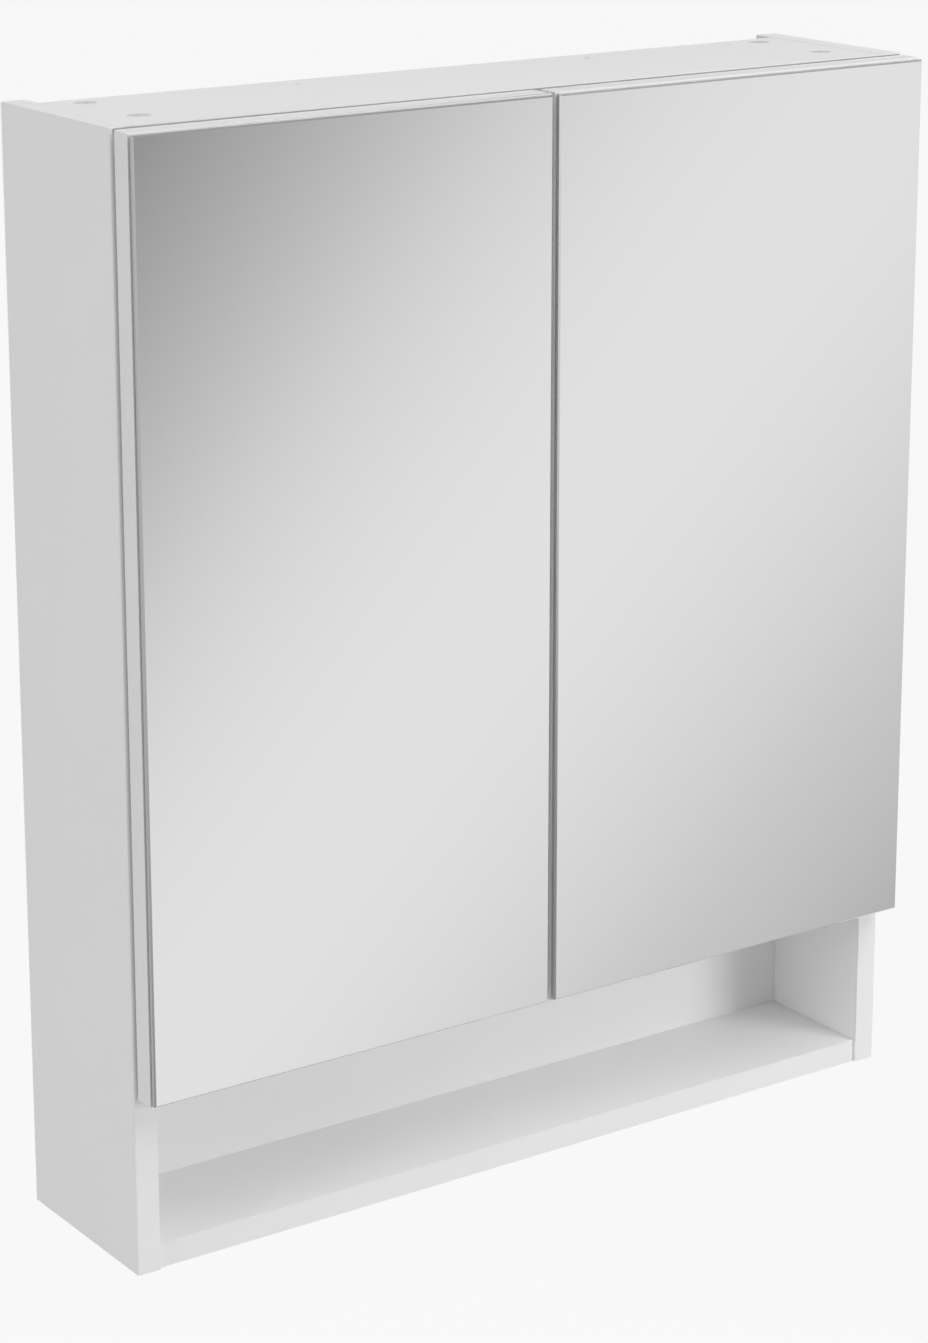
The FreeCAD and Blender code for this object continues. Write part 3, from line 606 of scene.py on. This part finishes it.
def block(x_range, y_range, z_range, taper=1.0, turn=0.0):
    """A block between limits along each axis; taper narrows its foot, turn swings it round Z."""
    grid = bmesh.new()
    bmesh.ops.create_cube(grid, size=1.0)
    for vert in grid.verts:
        spread = taper if vert.co.z < 0 else 1.0
        shares = (vert.co.x * spread, vert.co.y * spread, vert.co.z)
        limits = (x_range, y_range, z_range)
        vert.co = [low + (high - low) * (0.5 + share) for (low, high), share in zip(limits, shares)]
    bmesh.ops.rotate(grid, verts=grid.verts, matrix=Matrix.Rotation(turn, 3, "Z"))
    return as_piece(grid, "block")


def settle(piece):
    """Carries out a piece's modifiers."""
    depsgraph = bpy.context.evaluated_depsgraph_get()
    mesh = bpy.data.meshes.new_from_object(piece.evaluated_get(depsgraph))
    piece.modifiers.clear()
    piece.data = mesh


def combine(piece, operation, tool):
    """Adds a tool's form to a piece or cuts it out, and removes the tool."""
    change = piece.modifiers.new("change", "BOOLEAN")
    change.operation = operation
    change.object = tool
    settle(piece)
    bpy.data.objects.remove(tool)


def fuse(piece, tool):
    combine(piece, "UNION", tool)


def cut(piece, tool):
    combine(piece, "DIFFERENCE", tool)


def soften(piece, width):
    """Rounds a piece's sharp edges."""
    bevel = piece.modifiers.new("soft_edges", "BEVEL")
    bevel.width = width
    bevel.segments = EASE_SEGMENTS
    bevel.limit_method = "ANGLE"
    bevel.angle_limit = SHARP


def cut_cross(piece, reach, width, depth, top=0.0):
    """Sinks a crosshead's recess into a piece's top."""
    arm = ((-reach, reach), (-width / 2, width / 2), (top - depth, top + depth / 2))
    for turn in (0, math.pi / 2):
        cut(piece, block(*arm, CROSS_TAPER, turn))


def fuse_ears(piece, offset, reach, radius, thick):
    """Adds a flat bar with round ends that runs along Y."""
    fuse(piece, block((offset - radius, offset + radius), (-reach, reach), (0, thick)))
    for side in (-reach, reach):
        fuse(piece, disc(0, thick, radius, at=(offset, side)))


# Parts of a turned outline, each a run of (height, radius)

def foot(length, radius, ease, lead):
    """From the axis to the side; the rim is eased inwards, over a lead in height."""
    return ((-length, 0), (-length, radius - ease), (lead - length, radius))


def rim(top, radius, ease):
    """From the side over an eased rim to the top."""
    return ((top - ease, radius), (top, radius - ease))


def dome(radius, low, high):
    """From the side over a rounded top to the axis."""
    points = []
    for step in range(DOME_STEPS):
        turn = math.pi / 2 * step / DOME_STEPS
        points.append((low + (high - low) * math.sin(turn), radius * math.cos(turn)))
    return points + [(high, 0)]


def pointed_shank(length, shank, head):
    """From a screw's point to the underside of its head."""
    return ((-length, 0), (-length + POINT * shank, shank), (-head, shank))


def cup_foot(low, radius):
    """From the axis over a rounded foot to a cup's wall."""
    return ((low, 0), (low, radius - CUP_FOOT_ROUND), (low + CUP_FOOT_ROUND / 3, radius - CUP_FOOT_INSET),
            (low + CUP_FOOT_ROUND, radius))


# Turned fittings, each from the radius and length of its solid, whose top is at height zero

def cam_lock(radius, length):
    """A cast cam whose flat face lies just below the board."""
    piece = lathe(*foot(length, radius, CAM_FOOT, CAM_FOOT), *rim(CAM_FACE, radius, CAM_RIM),
                  (CAM_FACE, 0))
    cut_cross(piece, *CAM_CROSS, CAM_FACE)
    return piece


def flat_screw(head, shank):
    """A countersunk screw with a head of some height on a shank of some radius."""
    def make(radius, length):
        piece = lathe(*pointed_shank(length, shank, head), (-FLAT_LIP, radius), (0, radius - FLAT_EASE),
                      (0, 0))
        cut_cross(piece, *[radius * share for share in FLAT_CROSS])
        return piece
    return make


def pan_screw(head, shank):
    """A screw with a rounded head of some height on a shank of some radius."""
    def make(radius, length):
        piece = lathe(*pointed_shank(length, shank, head), (-head, radius - PAN_EASE),
                      *dome(radius, PAN_LIP - head, 0))
        cut_cross(piece, *[radius * share for share in PAN_CROSS])
        return piece
    return make


def hanger_adjuster(radius, length):
    """A screw whose head has a thin flange that lies on the housing."""
    neck = radius - ADJUSTER_NECK_INSET
    flange = radius + ADJUSTER_OVERHANG
    piece = lathe(*foot(length, ADJUSTER_SHANK, ADJUSTER_FOOT, ADJUSTER_FOOT),
                  (-ADJUSTER_NECK, ADJUSTER_SHANK), (-ADJUSTER_NECK, neck), (ADJUSTER_REST, neck),
                  (ADJUSTER_REST, flange), *dome(flange, ADJUSTER_EDGE, ADJUSTER_TOP))
    cut_cross(piece, *ADJUSTER_CROSS, ADJUSTER_TOP)
    return piece


def shelf_pin(radius, length):
    """A pin for its hole, then a grooved head that carries the glass."""
    groove_start = PIN_COLLAR - PIN_HEAD
    floor_start = groove_start + GROOVE_SLOPE
    floor_end = floor_start + GROOVE_FLOOR
    inner = radius - GROOVE_DEPTH
    round_end = [(height, radius - inset) for height, inset in PIN_END]
    return lathe(*foot(length, PIN_SHANK, PIN_FOOT, PIN_FOOT), (-PIN_HEAD, PIN_SHANK),
                 (-PIN_HEAD, radius), (groove_start, radius), (floor_start, inner), (floor_end, inner),
                 (floor_end + GROOVE_SLOPE, radius), *round_end, (0, 0))


def bumper(radius, length):
    low = -BUMPER_DOME * length
    return lathe((-length, 0), (-length, radius - BUMPER_EASE), *dome(radius, low, 0))


def strike_plate(radius, length):
    """A disc with a dished middle, on the pin that holds it."""
    return lathe(*foot(length, STRIKE_PIN, STRIKE_PIN_EASE, STRIKE_PIN_LEAD), (-STRIKE_DISC, STRIKE_PIN),
                 (-STRIKE_DISC, radius - STRIKE_EASE), *rim(0, radius, STRIKE_RIM), (0, DISH_RADIUS),
                 (-DISH_DEPTH, DISH_FLOOR), (-DISH_DEPTH, 0))


def catch_sleeve(radius, length):
    """A collared sleeve with a bore for its magnet."""
    return lathe(*foot(length, SLEEVE_RADIUS, SLEEVE_EASE, SLEEVE_LEAD), (-COLLAR, SLEEVE_RADIUS),
                 (-COLLAR, radius), *rim(0, radius, COLLAR_RIM), (0, BORE_MOUTH), (-BORE_LEAD, BORE_RADIUS),
                 (-BORE_DEPTH, BORE_RADIUS), (-BORE_DEPTH, 0))


def catch_magnet(radius, length):
    return lathe(*foot(length, radius, MAGNET_FOOT, MAGNET_FOOT), *rim(0, radius, MAGNET_RIM), (0, 0))


def hinge_pin(radius, length):
    return disc(-length, 0, radius)


# Pressed fittings, each from the size of its solid along the model's own axes

def hinge_cup(wide, tall, deep):
    """A cup whose flange lies on the door and has two ears for screws. X points to the ears."""
    radius = (wide - FLANGE_RIM) / 2
    depth = deep - FLANGE
    reach = tall / 2 - EAR_RADIUS
    flange = radius + FLANGE_RIM
    inner = radius - CUP_WALL
    past = 2 * FLANGE
    cup = lathe(*cup_foot(-depth, radius), (0, radius), (0, flange), (FLANGE, flange), (FLANGE, 0))
    fuse_ears(cup, EAR_OFFSET, reach, EAR_RADIUS, FLANGE)
    cut(cup, lathe(*cup_foot(CUP_WALL - depth, inner), (past, inner), (past, 0)))
    cut(cup, block((-2 * radius, FLANGE_TRIM - radius), (-radius, radius), (0, past)))
    for side in (-reach, reach):
        cut(cup, lathe((-past, 0), (-past, EAR_HOLE_RADIUS), (FLANGE - COUNTERSINK, EAR_HOLE_RADIUS),
                       (FLANGE, COUNTERSINK_RADIUS), (past, COUNTERSINK_RADIUS), (past, 0),
                       at=(EAR_OFFSET, side)))
    soften(cup, PRESSED_EDGE)
    settle(cup)
    return cup


def mounting_plate(long, tall, deep):
    """A cross-shaped plate with a rail along its middle. X runs along the arm, Z out of the board."""
    half = long / 2
    plate = block((-half, half), (-PLATE_WIDTH / 2, PLATE_WIDTH / 2), (0, PLATE))
    fuse(plate, block((-half, half), (-RAIL_WIDTH / 2, RAIL_WIDTH / 2), (PLATE / 2, deep)))
    fuse_ears(plate, WING_OFFSET, tall / 2 - WING_RADIUS, WING_RADIUS, PLATE)
    soften(plate, PRESSED_EDGE)
    settle(plate)
    return plate


# Pieces that replace a node

def islands(node):
    """The box of each separate solid of a node."""
    grid = bmesh.new()
    grid.from_mesh(frame["nodes"][node].data)
    bmesh.ops.remove_doubles(grid, verts=grid.verts, dist=TOUCH)
    seen = set()
    boxes = []
    for start in grid.verts:
        if start in seen:
            continue
        seen.add(start)
        reached = [start]
        for vert in reached:
            for edge in vert.link_edges:
                other = edge.other_vert(vert)
                if other not in seen:
                    seen.add(other)
                    reached.append(other)
        low = Vector([min(vert.co[axis] for vert in reached) for axis in range(3)])
        high = Vector([max(vert.co[axis] for vert in reached) for axis in range(3)])
        boxes.append((low, high))
    grid.free()
    return boxes


def replace(node, grid):
    """Makes one piece that replaces a node and has its finish."""
    piece = as_piece(grid, node + "_fine")
    piece.data.shade_smooth()
    piece.data.set_sharp_from_angle(angle=SHARP)
    piece.data.materials.append(finish_of(node))
    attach(piece, frame["nodes"][node]["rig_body"])
    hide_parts(node)
    return piece


def stand_for(node, model, places):
    """Puts copies of a model where a node's solids are, as one piece that replaces the node."""
    grid = bmesh.new()
    for place in places:
        copy = model.data.copy()
        copy.transform(place @ Matrix.Scale(MM, 4))
        grid.from_mesh(copy)
        bpy.data.meshes.remove(copy)
    bpy.data.objects.remove(model)
    bmesh.ops.recalc_face_normals(grid, faces=grid.faces)
    replace(node, grid)


def round_bands(node):
    """Replaces the edging by a copy whose outer front edges are round."""
    grid = bmesh.new()
    grid.from_mesh(frame["nodes"][node].data)
    bmesh.ops.remove_doubles(grid, verts=grid.verts, dist=TOUCH)
    bmesh.ops.dissolve_limit(grid, angle_limit=FLAT, verts=grid.verts, edges=grid.edges)
    low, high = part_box(node)
    corners = {vert for vert in grid.verts
               if abs(vert.co.x) > high.x - TOUCH and vert.co.y < low.y + TOUCH}
    outer = [edge for edge in grid.edges if corners.issuperset(edge.verts)]
    bmesh.ops.bevel(grid, geom=outer, offset=BAND_ROUND_DEEP * MM, segments=BAND_SEGMENTS, profile=0.5,
                    affect="EDGES")
    for vert in grid.verts:
        inside = high.x - abs(vert.co.x)
        if inside < BAND_ROUND_DEEP * MM + TOUCH:
            stretched = high.x - inside * BAND_ROUND_WIDE / BAND_ROUND_DEEP
            vert.co.x = math.copysign(stretched, vert.co.x)
    soften(replace(node, grid), EASED[SLOTS[node]] * MM)


# Ways that the tops of turned fittings face, from the middle of each

def upright(middle):
    """Up on the top board and down on the lower boards."""
    half_height = (CAD_BOX[0].z + CAD_BOX[1].z) / 2
    return Vector((0, 0, 1 if middle.z > half_height else -1))


def inward(middle):
    """From a side board towards the middle."""
    return Vector((1 if middle.x < 0 else -1, 0, 0))


def forward(middle):
    return Vector((0, -1, 0))


def rearward(middle):
    return Vector((0, 1, 0))


# Fitting the hardware

def fit_turned(node, way, make):
    """Replaces each solid of a node by a turned fitting whose top faces the given way."""
    places = []
    for count, (low, high) in enumerate(islands(node)):
        middle = (low + high) / 2
        out = way(middle)
        across = [size for size, share in zip(high - low, out) if share == 0]
        length = abs((high - low).dot(out))
        spin = Matrix.Rotation(count * CROSS_SPIN, 4, "Z")
        turn = out.to_track_quat("Z", "Y").to_matrix().to_4x4()
        places.append(Matrix.Translation(middle + out * length / 2) @ turn @ spin)
    stand_for(node, make(max(across) / 2 / MM, length / MM), places)


def fit_pressed(node, axes, make, base):
    """Replaces a hinge node's solids: axes turn the left one's own frame, and base finds each origin."""
    places = []
    for low, high in islands(node):
        left = low.x + high.x < 0
        turn = axes if left else Matrix.Rotation(math.pi, 3, "Y") @ axes
        places.append(Matrix.Translation(base(low, high, left)) @ turn.to_4x4())
    size = axes.transposed() @ (high - low)
    stand_for(node, make(*[abs(side) / MM for side in size]), places)


def cup_base(low, high, left):
    """The middle of the cup's mouth, level with the door's back."""
    radius = (high.x - low.x - FLANGE_RIM * MM) / 2
    middle = low.x + radius if left else high.x - radius
    return Vector((middle, high.y - FLANGE * MM, (low.z + high.z) / 2))


def plate_base(low, high, left):
    """The middle of the plate's face on the side board."""
    return Vector((low.x if left else high.x, (low.y + high.y) / 2, (low.z + high.z) / 2))


def fit_hardware():
    fit_turned("cam_locks", upright, cam_lock)
    fit_turned("back_panel_screws", upright, flat_screw(head=2.5, shank=1.75))
    fit_turned("shelf_pins", inward, shelf_pin)
    fit_turned("hinge_plate_screws", inward, pan_screw(head=2.2, shank=2.0))
    fit_turned("hinge_arm_screws", inward, pan_screw(head=2.0, shank=2.0))
    fit_turned("hanger_adjusters", forward, hanger_adjuster)
    fit_turned("catch_sleeves", forward, catch_sleeve)
    fit_turned("catch_magnets", forward, catch_magnet)
    along_arm = Matrix(((0, 0, 1), (1, 0, 0), (0, 1, 0)))
    fit_pressed("hinge_mounting_plates", along_arm, mounting_plate, plate_base)
    into_door = Matrix(((1, 0, 0), (0, 0, 1), (0, -1, 0)))
    for side in ("left_", "right_"):
        fit_turned(side + "cup_screws", rearward, flat_screw(head=COUNTERSINK, shank=1.75))
        fit_turned(side + "strike_plate", rearward, strike_plate)
        fit_turned(side + "bumpers", rearward, bumper)
        fit_turned(side + "hinge_pins", upright, hinge_pin)
        fit_pressed(side + "hinge_cups", into_door, hinge_cup, cup_base)


# Dressing the nodes

def ease(node):
    """Gives a node soft edges: its facets are joined to whole faces before the edges are rounded."""
    piece = frame["nodes"][node]
    weld = piece.modifiers.new("weld", "WELD")
    weld.merge_threshold = TOUCH
    faces = piece.modifiers.new("faces", "DECIMATE")
    faces.decimate_type = "DISSOLVE"
    faces.angle_limit = FLAT
    soften(piece, EASED[SLOTS[node]] * MM)


def dress_nodes():
    """Gives each node its finish, and soft edges where it still shows and its slot has them."""
    for node, slot in SLOTS.items():
        piece = frame["nodes"][node]
        piece.data.materials.clear()
        piece.data.materials.append(finish_of(node))
        if slot in EASED and not piece.hide_render:
            ease(node)


# Studio

def floor_material():
    """Pale floor that the camera and mirrors see as the background, with the object's shadow on it."""
    tree = Surface("floor")
    matte = tree.add("BsdfDiffuse")
    matte.inputs["Color"].default_value = colour(FLOOR_TONE)
    glow = tree.add("Emission")
    glow.inputs["Strength"].default_value = FLOOR_GLOW
    share = tree.math("MULTIPLY", tree.seen(), FLOOR_SHARE)
    return tree.finish(tree.mix(share, matte.outputs["BSDF"], glow.outputs["Emission"]))


def card_material():
    """A reflector card with soft slanting bands of light for the mirrors to show."""
    tree = Surface("card")
    where = tree.add("TexCoord").outputs["Object"]
    around = tree.add("TexGradient", gradient_type="RADIAL")
    tree.join(where, around.inputs["Vector"])
    turn = tree.math("MULTIPLY", around.outputs["Fac"], CARD_BANDS)
    lean = tree.math("MULTIPLY", tree.split(where)["Z"], CARD_LEAN)
    band = tree.math("FRACT", tree.math("ADD", tree.math("SUBTRACT", turn, lean), CARD_TURN))
    glow = tree.add("Emission")
    tree.join(tree.ramp(band, *CARD_TONES, interpolation="CARDINAL"), glow.inputs["Color"])
    return tree.finish(glow.outputs["Emission"])


def make_floor():
    bpy.ops.mesh.primitive_plane_add(size=FLOOR_SIZE, location=(0, 0, -FLOOR_DROP))
    floor = bpy.context.object
    floor.name = "floor"
    floor.data.materials.append(floor_material())


def make_card():
    """A ring of card round the studio, which only reflections see."""
    tall = CARD_TOP + FLOOR_DROP
    bpy.ops.mesh.primitive_cylinder_add(vertices=CARD_SIDES, radius=CARD_RADIUS, depth=tall,
                                        end_fill_type="NOTHING", location=(0, 0, CARD_TOP - tall / 2))
    card = bpy.context.object
    card.name = "card"
    card.data.materials.append(card_material())
    for ray in ("camera", "diffuse", "transmission", "volume_scatter", "shadow"):
        setattr(card, "visible_" + ray, False)


def make_world():
    """Even light from all round, and a bright background for the rays that show it."""
    world = bpy.data.worlds.new("studio")
    bpy.context.scene.world = world
    tree = Tree(world)
    ambient = tree.nodes["Background"]
    backdrop = tree.add("Background")
    for background, strength in ((ambient, AMBIENT), (backdrop, BACKGROUND)):
        background.inputs["Color"].default_value = colour(1.0)
        background.inputs["Strength"].default_value = strength
    either = tree.mix(tree.seen(), ambient.outputs["Background"], backdrop.outputs["Background"])
    tree.join(either, tree.nodes["World Output"].inputs["Surface"])


def make_light(name, place, size, watts):
    data = bpy.data.lights.new(name, "AREA")
    data.shape = "DISK"
    data.size = size
    data.energy = watts
    light = bpy.data.objects.new(name, data)
    bpy.context.scene.collection.objects.link(light)
    light.location = place
    low, high = CAD_BOX
    aim = (low + high) / 2 - light.location
    light.rotation_euler = aim.to_track_quat("-Z", "Y").to_euler()
    light.visible_camera = False
    light.visible_glossy = False


def make_camera():
    data = bpy.data.cameras.new("camera")
    data.sensor_width = SENSOR
    data.lens = SENSOR * FOCAL_PIXELS / PHOTO_TALL
    data.shift_x, data.shift_y = CAMERA_SHIFT
    data.clip_end = CAMERA_REACH
    camera = bpy.data.objects.new("camera", data)
    camera.location = CAMERA_PLACE
    camera.rotation_euler = (math.pi / 2 - CAMERA_PITCH, 0.0, -CAMERA_YAW)
    bpy.context.scene.collection.objects.link(camera)
    bpy.context.scene.camera = camera


fit_hardware()
round_bands("front_edge_bands")
dress_nodes()
make_floor()
make_card()
make_world()
for light_name, (light_place, light_size, light_watts) in LIGHTS.items():
    make_light(light_name, light_place, light_size, light_watts)
make_camera()
bpy.context.scene.view_settings.view_transform = "Standard"
